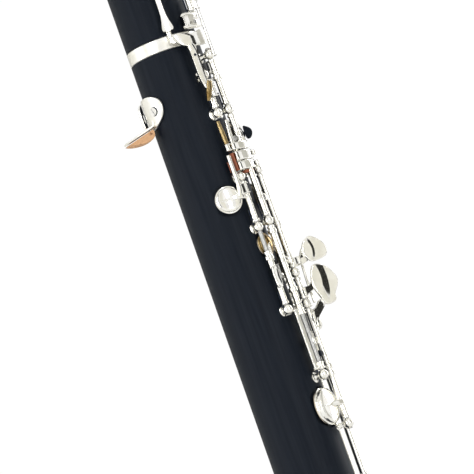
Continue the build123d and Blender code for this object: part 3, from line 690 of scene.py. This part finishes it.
def posts(name, rods, extra=()):
    shells = list(extra)
    heads = []
    done = []
    ends = [(line, z) for line, low, high in rods.values() for z in (low, high)]
    for line, z in ends:
        if (line, z) in done:
            continue
        done.append((line, z))
        shells += post(line, z)
    for line, low, high in rods.values():
        for z, sign in ((low, -1), (high, 1)):
            if ends.count((line, z)) == 1:
                centre = spot(*line, z + sign * BALL_FLAT)
                heads += slotted_head(centre, (0, 0, sign), 0.85, 0.34, 30 * sign, 0.24)
    piece(name + "_turned", "body", shells, replaces=(name,))
    piece(name + "_screws", "body", heads, STEEL)


# --- keys --------------------------------------------------------------------------------

def side_key(name, rod, touch_at, rise=0.6, width=3.0, bands=()):
    """A cup on one side of the tube and a finger touch on the other; touch_at is (theta0,
    theta1, r, z0, z1), and rise is how far the block under it stands past its middle."""
    line = RODS[rod][0]
    radius, z0, z1 = touch_at[2:]
    key(name, line, [
        rod_tube(rod, bands), cup_shell(CUPS[name]), cup_arm(CUPS[name], line, width=width),
        touch(*touch_at), block(line[0] - 4.5, line[0] + 4.5, line[1], radius + rise, z0 + 1, z1 - 1)])


def finger_plate(name, line):
    plate = CUPS[name]
    return [cup_shell(plate, True), cup_arm(plate, line, short=True)]


def vent(name, line, z_tube):
    return [cup_shell(CUPS[name]), cup_arm(CUPS[name], line, z_tube, 2.4)]


def trill_lever():
    """A long flat lever whose foot flares out above the trill touch's tongue."""
    half = [(0.85, 22), (0.85, 14), (0.87, 8), (1.0, 5.6), (1.35, 3.6), (1.85, 1.7), (1.98, 0.8),
            (1.75, 0.3)]
    flare = half + [(0, 0)] + [(-x, y) for x, y in reversed(half)]
    cup = CUPS["trill_lever"]
    key("trill_lever", UPPER_RIGHT, [
        rod_tube("upper_right"), cup_shell(cup), cup_arm(cup, UPPER_RIGHT, width=2.6),
        pillow(flare, wrapped(97.2, 14.95, 363.1), 1.25, steps=3, edge=0.3),
        block(76, 99, 14.3, 15.6, 382.4, 386)])


def upper_keys():
    key("half_hole_plate", UPPER_MAIN, [rod_tube("upper_top"), finger_plate("half_hole_plate", UPPER_MAIN)])
    key("a_key", UPPER_MAIN, [
        rod_tube("upper_mid"), finger_plate("a_key", UPPER_MAIN), vent("a_vent", UPPER_MAIN, 419.3)])
    key("g_key", UPPER_MAIN, [
        rod_tube("upper_low"), finger_plate("g_key", UPPER_MAIN), vent("g_vent", UPPER_MAIN, 393.2),
        block(32.5, 42, 15.6, 16.9, 351.5, 372, 0.4), block(32.5, 50, 15.6, 16.9, 368.8, 372, 0.4)],
        [block(33.2, 41.2, 15.38, 15.62, 351.8, 354.6, 0.1)])
    side_key("g_sharp_key", "upper_left", (-62, -34, 16.4, 372.5, 380))
    trill_lever()
    side_key("second_octave_key", "side_back", (92, 120, 15.5, 456, 464), width=2.4)
    side_key("first_octave_key", "thumb", (160, 198, 15.6, 431, 444), width=2.4)


def trill_touch():
    """A crescent beside the socket ring, a tapering plate below it and a tongue above."""
    crescent = [(-7.3, 2.3), (-7.0, 1.0), (-5.9, -0.6), (-4.3, -1.9), (-2.2, -2.65), (0.6, -2.9),
                (3.6, -2.85), (6.2, -2.5), (7.2, -1.5), (7.4, 0.4), (6.8, 2.2), (5.2, 2.8), (2.6, 2.2),
                (0, 1.9), (-2.6, 2.2), (-5.2, 2.8)]
    taper = [(-1.3, 6.5), (-1.35, 3), (-1.35, -2), (-1.15, -5.6), (-0.4, -9.0), (0.4, -9.0), (1.0, -6.6),
             (1.3, -3), (1.35, 2), (1.3, 6.5)]
    link = [direction(96) * 13.55 + Vector((0, 0, z)) for z in (367.4, 363, 361)]
    link += [direction(96) * r + Vector((0, 0, 360 - r / 40)) for r in (14.1, 15.4, 16.6)]
    key("trill_touch", INNER, [
        rod_tube("inner_top"),
        pillow(outline_through(crescent, 5), wrapped(73, 16.75, 358.5), 1.2, lambda s: 0.25 * (1 - s * s),
               edge=0.45),
        pillow(outline_through(taper, 4), wrapped(79.3, 17.5, 349.6), 1.1, steps=4, edge=0.3),
        strip(link, direction(186), [1.7, 1.7, 1.8, 2.0, 2.2, 2.2], [0.72, 0.72, 0.8, 1.6, 2.4, 2.2]),
        block(65.4, 73.4, 14.5, 17.9, 337, 343.2, 0.4)])
    # The arm's gold tone is a painted warm reflection on silver.
    piece("trill_touch_arm", "trill_touch", [
        bar([(73.9, 18.0, 342.4, 2.0, 0.8), (76.8, 17.7, 339.6, 2.1, 0.9), (80.4, 16.9, 336.2, 1.2, 0.8)])],
        GOLD_REFLECTION)
    hole = [(0.5, 0), (0.5, 0.1), (0.3, 0.12)]
    piece("trill_touch_hole", "trill_touch", [lathe(spot(79.5, 17.98, 352.4), direction(79.5), hole, 20)],
          BLUED)


def add_on(name, body, shells, material=SILVER):
    """Another piece of a key, turned with it to where it rests."""
    piece(name, body, turned(shells, MAIN, OPENED[body]), material)


def f_sharp_plate():
    key("f_sharp_plate", MAIN, [
        key_tube(MAIN, 317.4, 330.05), finger_plate("f_sharp_plate", MAIN),
        block(43, 71.5, 14.9, 17.9, 317.5, 320.15, 0.4), block(70, 79, 15.3, 17.2, 317.6, 320.3, 0.5),
        bar([(63.4, 15.9, 319.5, 1.7, 1.0), (63.4, 15.9, 324, 1.6, 1.0), (62, 16.1, 328.4, 1.4, 0.9)])])
    # The arm's gold tone is a painted warm reflection on silver.
    add_on("f_sharp_arm", "f_sharp_plate", [
        bar([(73.4, 15.9, 319.5, 1.5, 1.0), (73.6, 15.7, 324, 1.7, 1.0), (73.8, 15.4, 328.6, 1.3, 0.8)])],
        GOLD_REFLECTION)
    # A near-black half-disc set to face the view: painted shade standing for the shaded underside of the open
    # plate.
    shadow_outline = [(0, 2.35), (1.3, 2.0), (2.3, 1.0), (2.6, -0.2), (2.1, -1.5), (1.1, -2.3), (0, -1.6)]
    place = flat_on(spot(22, 16.2, 323.5), direction(112), direction(22))
    add_on("f_sharp_painted_shadow", "f_sharp_plate", [pillow(outline_through(shadow_outline, 5), place, 0.9, steps=3)],
           WOOD)
    screw = slotted_head(spot(60, 16.4, 321.6), direction(80), 0.95, 0.5, 40, 0.3)
    add_on("f_sharp_screw", "f_sharp_plate", screw, STEEL)


def e_plate():
    """Two blocks that its neighbours bear on, each with a round nose and cork beside it."""
    nose = [(0.3, 0), (0.85, 0.3), (1.0, 0.9), (0.85, 1.5), (0.3, 1.8)]
    key("e_plate", MAIN, [
        key_tube(MAIN, 293.45, 317.1), finger_plate("e_plate", MAIN),
        block(42, 71.5, 14.9, 18.0, 313.75, 317.0, 0.4), block(42, 71.5, 14.9, 17.8, 310.4, 313.4, 0.4),
        [lathe(spot(34, 17.2, z - 0.9), (0, 0, 1), nose, 24) for z in (315.8, 312.2)]],
        [block(71.5, 73.9, 15.2, 17.3, 310.5, 316.8, 0.15), block(45, 63, 14.9, 16.9, 309.3, 310.2, 0.15)])


def side_vent_key():
    cup = CUPS["side_vent_key"]
    tail = [(78.9, 15.95, 316.2, 1.5, 1.2), (78.9, 15.95, 309, 1.55, 1.25), (79.2, 15.9, 304.6, 1.8, 1.3),
            (82, 15.7, 302.4, 2.2, 1.3), (86, 15.5, 302, 2.3, 1.2)]
    key("side_vent_key", INNER, [
        rod_tube("inner_mid"), cup_shell(cup), cup_arm(cup, INNER, width=2.9), bar(tail, 3.0),
        block(65, 80, 14.9, 16.5, 302.2, 306, 0.35)],
        [block(78, 81.6, 14.75, 15.36, 310.6, 314.2, 0.1)])


def f_key():
    cup = CUPS["f_key"]
    key("f_key", INNER, [
        key_tube(INNER, 262.45, 281.4, [279.0]), cup_arm(cup, INNER, 280.4, width=2.4),
        touch(65.5, 75, 15.8, 268, 276, 1.2), block(64, 71, 14.2, 16.2, 275.8, 278.2, 0.35)])
    # The cup's gold tone is a painted warm reflection on a silver cup.
    piece("f_key_cup", "f_key", [cup_shell(cup, dome=0.9)], GOLD_REFLECTION)
    piece("f_key_block", "f_key", [block(58.5, 63.5, 14.3, 16.2, 271.2, 276.4, 0.3)], STEEL)


def middle_keys():
    trill_touch()
    key("bridge_lever", MAIN, [
        rod_tube("main_crown", [343.5]), block(34, 50, 14.0, 15.25, 345.5, 350),
        block(34, 40.5, 14.0, 15.25, 345.5, 355), block(48, 56, 14.0, 16.4, 345.5, 350)])
    f_sharp_plate()
    e_plate()
    key("d_plate", MAIN, [key_tube(MAIN, 261.2, 289.55, [266.5, 287.6]), finger_plate("d_plate", MAIN)])
    side_vent_key()
    f_key()


def resonance_key():
    """A wide lever, open between its two cross bars, with a small dark stop on it."""
    cup = CUPS["resonance_key"]
    key("resonance_key", MAIN, [
        key_tube(MAIN, 237.95, 240.4), key_tube(MAIN, 257.6, 261.0),
        block(53.5, 65.5, 15.3, 17.2, 238.0, 259.9, 0.7), block(43, 55, 15.5, 17.2, 257.6, 259.9, 0.4),
        block(43, 55, 15.5, 17.2, 238.0, 240.4, 0.4),
        cup_shell(cup, dome=0.25), cup_arm(cup, MAIN, width=3.0)])
    add_on("resonance_key_stop", "resonance_key", [
        bar([(47, 16.9, 243.2, 2.2, 0.9), (42, 17.0, 243.2, 1.7, 0.8), (37.5, 17.0, 243.4, 0.4, 0.5)])],
        WOOD)


def lower_keys():
    resonance_key()
    key("low_c_key", LITTLE, [
        rod_tube("little", [200, 240]), cup_shell(CUPS["low_c_key"]), cup_arm(CUPS["low_c_key"], LITTLE),
        block(-1, 17, 17.3, 18.5, 260, 264.3), block(-1, 5, 16.7, 18.5, 260, 264.3)])
    side_key("c_sharp_key", "sharp", (-20, 11, 19.8, 252, 259.5), 0.5, bands=[225])
    side_key("low_b_key", "left_b", (-78, -56, 17.8, 340, 349), 0.5, bands=[190, 250, 300])
    key("low_b_flat_lever", LEFT_B_FLAT, [
        rod_tube("left_b_flat", [180, 240, 295]), touch(-124, -98, 17.95, 336, 347),
        block(-104.5, -95.5, 16.4, 18.5, 337, 346), block(-104.5, -95.5, 16.4, 19.9, 125.45, 129.4),
        block(-114, -98, 18.7, 19.9, 125.45, 129.4), block(-114, -108, 18.7, 19.9, 113, 129.4)])
    cup = CUPS["low_b_flat_key"]
    key("low_b_flat_key", LEFT_B_FLAT, [
        rod_tube("bell"), cup_shell(cup), cup_arm(cup, LEFT_B_FLAT),
        block(-114, -98, 16.9, 18.2, 98.6, 102.5), block(-114, -108, 16.9, 18.2, 98.6, 118)])


# --- little-finger touches ---------------------------------------------------------------

# Each leaf stands in a plane that faces LEAF_FACING, and outlines on it are (outwards, up)
LEAF_FACING = 84
LEAF_THETA = 20
LEAF_R = 24.6
STEM_ROOT = 8.6
STEM_TURN = 9

LOW_C_Z = 277
LOW_C_LEAF = [(-3.5, 0), (-3.3, 2.4), (-2.2, 4.4), (-0.6, 5.6), (1.4, 5.9), (4.2, 3.9), (5.6, 1.4),
              (5.3, -1.6), (2.6, -2.7), (-1.4, -2.7)]
LOW_C_STEM = [(-8.6, -2.9), (-6.4, -2.9), (-3.0, -2.4), (-2.4, -1.2), (-3.6, -0.5), (-6.0, -0.8),
              (-8.6, -1.2)]
LOW_C_GUSSET = [(-6.0, -1.3), (-5.0, 0.3), (-3.2, 2.7), (-2.9, 1.0), (-3.2, -1.2)]
E_FLAT_Z = 266
E_FLAT_LEAF = [(-4.2, 0), (-3.6, 3.6), (-1.9, 6.8), (0.9, 6.9), (3.9, 4.9), (6.0, 0.9), (5.4, -1.8),
               (3.4, -4.6), (2.6, -7.0), (-1.2, -7.3), (-2.8, -4.0)]
E_FLAT_LOW_STEM = [(-8.4, -12.2), (-5.4, -10.2), (-1.6, -7.0), (-2.0, -5.4), (-3.4, -5.0),
                   (-5.6, -7.0), (-8.4, -9.0)]
E_FLAT_HIGH_STEM = [(-8.4, -2.7), (-5.8, -1.9), (-3.4, -0.9), (-3.2, 0.8), (-3.8, 1.8), (-5.8, 0.6),
                    (-8.4, 0.3)]


def leaf_place(z):
    return flat_on(spot(LEAF_THETA, LEAF_R, z), direction(LEAF_FACING), direction(LEAF_FACING - 90))


def leaf(outline, z, basin, fall, reach, thick=1.0):
    """A petal whose oval basin, given as (x, y, half-width, half-height), is bounded by a
    shoulder that falls this far within reach half-widths of its edge."""
    place = leaf_place(z)
    bx, by, bw, bh = basin

    def shaped(x, y, h):
        away = math.hypot((x - bx) / bw, (y - by) / bh)
        share = min(max((away - 1) / reach, 0), 1)
        share = share * share * (3 - 2 * share) * 0.15 + share * 0.85
        hollow = 0.10 * min(away, 1) ** 2
        crown = 0.012 * max(x - bx - bw * (1 + reach), 0) ** 2
        return place(x, y, h + hollow - fall * share + crown)
    return pillow(outline_through(outline, 12), shaped, thick, steps=40, edge=0.45)


def leaf_stem(outline, z, turn=0, thick=1.1):
    """A web from the tube to a petal, turned a little about its inner end."""
    inner = spot(LEAF_THETA, LEAF_R, z) - direction(LEAF_FACING - 90) * STEM_ROOT * MM
    inner += direction(LEAF_FACING) * 0.05 * turn * MM
    facing = LEAF_FACING - turn
    place = flat_on(inner, direction(facing), direction(facing - 90))
    moved = outline_through([(x + STEM_ROOT, y) for x, y in outline], 5)
    return pillow(moved, place, thick, steps=3, edge=0.35)


def petals():
    cup = CUPS["e_flat_key"]
    key("e_flat_key", OUTER, [
        rod_tube("outer_low", [236, 238.4]), rod_tube("outer_mid"),
        cup_shell(cup, dome=0.5, flange=0.3), cup_arm(cup, OUTER, width=2.6),
        leaf(E_FLAT_LEAF, E_FLAT_Z, (-2.0, 2.8, 1.8, 4.4), 0.42, 1.45),
        leaf_stem(E_FLAT_LOW_STEM, E_FLAT_Z, STEM_TURN), leaf_stem(E_FLAT_HIGH_STEM, E_FLAT_Z, STEM_TURN)])
    key("low_c_touch", OUTER, [
        rod_tube("outer_top", [290]), leaf(LOW_C_LEAF, LOW_C_Z, (-1.7, 1.6, 1.8, 3.0), 0.17, 0.6),
        leaf_stem(LOW_C_STEM, LOW_C_Z), leaf_stem(LOW_C_GUSSET, LOW_C_Z, STEM_TURN, 0.7),
        bar([(30, 19.7, 275.8, 2.4, 1.2), (24, 20.0, 275.4, 1.6, 1.0), (18, 20.0, 272.8, 0.9, 0.9),
             (15, 19.9, 268.5, 0.8, 0.9), (15, 19.9, 261, 1.2, 1.0)]),
        block(26.5, 33.5, 16.85, 20.4, 274.45, 277.2)])


# --- thumb rest --------------------------------------------------------------------------

THUMB_SCREWS = (159, 201)
THUMB_SCREW_Z = 339.6


def thumb_rest():
    outline = [(-8.8, 0.4), (-7.9, 3.3), (-4.6, 5.2), (0, 5.75), (4.6, 5.2), (7.9, 3.3), (8.8, 0.4),
               (7.4, -2.9), (3.6, -5.2), (0, -5.9), (-3.6, -5.2), (-7.4, -2.9)]
    hook = [(0, 13.1, 337.4), (0, 13.6, 335.6), (0, 15.6, 334.75), (0, 20.0, 333.4), (0, 24.3, 332.1)]
    piece("thumb_rest_metal", "body", [
        pillow(outline_through(outline, 5), wrapped(180, 13.1, 339.8), 1.05, steps=6, edge=0.3),
        strip(hook, (1, 0, 0), [5.0, 5.0, 5.1, 5.1, 5.0], [1.0, 1.1, 1.0, 0.9, 0.8])],
        SATIN, replaces=("thumb_rest",))
    wedge = [(14.0, 334.2), (15.5, 334.0), (20, 332.7), (24.0, 331.45), (24.3, 331.25), (22.2, 330.6),
             (19, 330.35), (16.2, 330.65), (14.4, 331.6), (13.85, 333.0)]
    place = flat_on(Vector((0, 0, 0)), (1, 0, 0), (0, 1, 0))
    piece("thumb_rest_pad", "body", [
        pillow(outline_through(wedge, 4), place, 5.1, steps=6, edge=0.45)],
        CORK, replaces=("thumb_rest_cork",))
    heads = []
    # Dark rings just outside each screw head: painted shade for the shaded outline round the heads.
    screw_shadow_rings = []
    shadow_ring_profile = [(1.62, 0), (1.62, 0.12), (1.3, 0.38)]
    for theta in THUMB_SCREWS:
        out = direction(theta)
        heads += slotted_head(spot(theta, 13.6, THUMB_SCREW_Z), out, 1.4, 0.5, 25, 0.36)
        screw_shadow_rings.append(lathe(spot(theta, 13.55, THUMB_SCREW_Z), out, shadow_ring_profile, 32))
    piece("thumb_rest_heads", "body", heads, STEEL)
    piece("thumb_rest_screw_shadows", "body", screw_shadow_rings, BLUED)


BRIDGE_POST = [block(44.5, 68, 12.3, 15.3, 362.9, 367.6, 0.5),
               block(44.5, 77, 15.0, 17.15, 362.0, 367.8, 1.2)]
BRIDGE_SCREW = slotted_head(spot(60, 17.05, 364.0), direction(60), 0.75, 0.3, 35)
posts("upper_posts", UPPER_RODS, BRIDGE_POST)
piece("bridge_post_screw", "body", BRIDGE_SCREW, STEEL)
posts("lower_posts", LOWER_RODS)
posts("bell_posts", BELL_RODS)
upper_keys()
middle_keys()
lower_keys()
petals()
thumb_rest()


# --- camera, light and floor -------------------------------------------------------------

VIEW_THETA = 112.0
VIEW_ELEVATION = -6.5
VIEW_ROLL = -19.62
VIEW_DISTANCE = 1.30
VIEW_WIDTH = 0.1618
VIEW_HEIGHT = 290.7
VIEW_SHIFT = 2.3


def make_camera():
    target = spot(0, 0, VIEW_HEIGHT) + direction(VIEW_THETA - 90) * VIEW_SHIFT * MM
    tilt = math.radians(VIEW_ELEVATION)
    back = direction(VIEW_THETA) * math.cos(tilt) + Vector((0, 0, math.sin(tilt)))
    data = bpy.data.cameras.new("camera")
    data.sensor_width = 36
    data.lens = 36 * VIEW_DISTANCE / VIEW_WIDTH
    data.clip_start = 0.05
    data.clip_end = 100
    cam = bpy.data.objects.new("camera", data)
    bpy.context.scene.collection.objects.link(cam)
    cam.rotation_mode = "QUATERNION"
    cam.location = target + back * VIEW_DISTANCE
    turn = Matrix.Rotation(math.radians(VIEW_ROLL), 3, "Z").to_quaternion()
    cam.rotation_quaternion = (-back).to_track_quat("-Z", "Y") @ turn
    bpy.context.scene.camera = cam


def strip_light(name, theta, width, power):
    data = bpy.data.lights.new(name, "AREA")
    data.shape = "RECTANGLE"
    data.size = width
    data.size_y = LIGHT_LENGTH
    data.energy = power
    light = bpy.data.objects.new(name, data)
    light.location = direction(theta) * LIGHT_REACH + Vector((0, 0, LIGHT_HEIGHT))
    aim = Vector((0, 0, 0.29)) - light.location
    light.rotation_mode = "QUATERNION"
    light.rotation_quaternion = aim.to_track_quat("-Z", "Y")
    bpy.context.scene.collection.objects.link(light)


# Grey cards round the instrument, seen only in reflections: (theta, width, distance in m, grey)
CARDS = [(126, 0.11, 0.9, 0.03), (37, 0.17, 0.9, 0.03), (57, 0.42, 0.95, 0.86), (100, 0.22, 0.95, 0.84),
         (10, 0.3, 0.95, 0.55), (-32, 0.08, 0.9, 0.04), (-62, 0.4, 0.95, 0.6), (-95, 0.12, 0.9, 0.06),
         (-122, 0.8, 0.95, 0.82), (165, 0.3, 0.95, 0.82)]
CARD_FOOT = 0.01
CARD_TOP = 1.3

# Tall strip lights: name, theta, width in m, power
LIGHTS = [("key", 141, 0.10, 4), ("fill", 82, 0.12, 4), ("front", -12, 0.14, 4), ("back", 190, 0.14, 3)]
LIGHT_HEIGHT = 0.5
LIGHT_REACH = 1.3
LIGHT_LENGTH = 1.3
FLOOR_HALF = 30
FLOOR_Z = -0.0005


def card(theta, width, reach, grey):
    mesh = bpy.data.meshes.new("card")
    middle = direction(theta) * reach
    side = direction(theta + 90) * width / 2
    low = Vector((0, 0, CARD_FOOT))
    high = Vector((0, 0, CARD_TOP))
    corners = [middle - side + low, middle + side + low, middle + side + high, middle - side + high]
    mesh.from_pydata(corners, [], [(0, 1, 2, 3)])
    mat, _, shader = new_material("card")
    shader.inputs["Base Color"].default_value = (grey, grey * 0.985, grey * 0.92, 1)
    shader.inputs["Roughness"].default_value = 1.0
    shader.inputs["Specular IOR Level"].default_value = 0.0
    mesh.materials.append(mat)
    obj = bpy.data.objects.new("card", mesh)
    bpy.context.scene.collection.objects.link(obj)
    obj.visible_camera = False
    obj.visible_shadow = False


def make_stage():
    world = bpy.data.worlds.new("studio")
    world.use_nodes = True
    background = world.node_tree.nodes["Background"]
    background.inputs["Color"].default_value = (1, 1, 1, 1)
    background.inputs["Strength"].default_value = 1.02
    bpy.context.scene.world = world
    mesh = bpy.data.meshes.new("floor")
    side = FLOOR_HALF
    corners = [(-side, -side, 0), (side, -side, 0), (side, side, 0), (-side, side, 0)]
    mesh.from_pydata(corners, [], [(0, 1, 2, 3)])
    floor = bpy.data.objects.new("floor", mesh)
    floor.location.z = FLOOR_Z
    mat, _, shader = new_material("floor")
    shader.inputs["Base Color"].default_value = (0.85, 0.85, 0.85, 1)
    shader.inputs["Roughness"].default_value = 0.9
    mesh.materials.append(mat)
    bpy.context.scene.collection.objects.link(floor)
    for values in CARDS:
        card(*values)
    for values in LIGHTS:
        strip_light(*values)
    bpy.context.scene.view_settings.view_transform = "Standard"


make_camera()
make_stage()
dress_cad_nodes()
